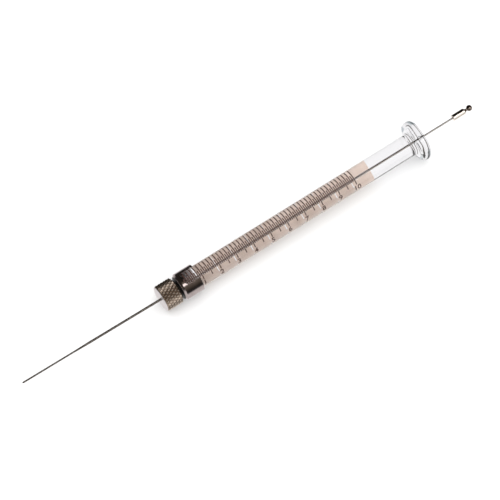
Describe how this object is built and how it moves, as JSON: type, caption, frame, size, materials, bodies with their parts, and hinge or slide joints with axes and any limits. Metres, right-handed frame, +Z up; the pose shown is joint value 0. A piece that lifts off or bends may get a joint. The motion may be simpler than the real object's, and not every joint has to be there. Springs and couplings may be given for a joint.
{
  "type": "microsyringe",
  "caption": "Slim glass microsyringe with a stepped needle, knurled nut, graduated barrel, round flange and ball-ended wire plunger.",
  "frame": {"origin": "on the table under the middle of the syringe's length, below its axis; the axis is one flange radius above the table", "axes": "+X along the axis towards the plunger button, +Z up through the notch and the scale, +Y to the left seen from the needle"},
  "size_m": [0.143, 0.0118, 0.0118],
  "materials": {
    "glass": "clear fire-polished borosilicate with a fired enamel stripe and brown scale",
    "plated_metal": "bright nickel plate",
    "knurled_metal": "nickel plate over a diamond knurl",
    "stainless_steel": "drawn and ground",
    "brass": "turned",
    "seal_plastic": "moulded PTFE"
  },
  "bodies": {
    "barrel": {"barrel": "glass", "terminator": "plated_metal"},
    "needle": {"needle": "stainless_steel", "needle_hub": "brass", "needle_seal": "seal_plastic"},
    "nut": {"needle_nut": "knurled_metal"},
    "plunger": {"plunger_wire": "stainless_steel", "plunger_button": "plated_metal"}
  },
  "joints": [
    {"name": "plunger_slide", "type": "slide", "parent": "barrel", "child": "plunger", "axis": [1, 0, 0], "range_m": [0, 0.0541]},
    {"name": "needle_draw", "type": "slide", "parent": "barrel", "child": "needle", "axis": [-1, 0, 0], "range_m": [0, 0.0026]},
    {"name": "nut_turn", "type": "hinge", "parent": "needle", "child": "nut", "pos_m": [-0.02888, 0, 0.0059], "axis": [-1, 0, 0], "range_deg": [0, 1872]}
  ],
  "couplings": [
    {"joint": "nut_turn", "follows": "needle_draw", "rad_per_m": 12566}
  ]
}
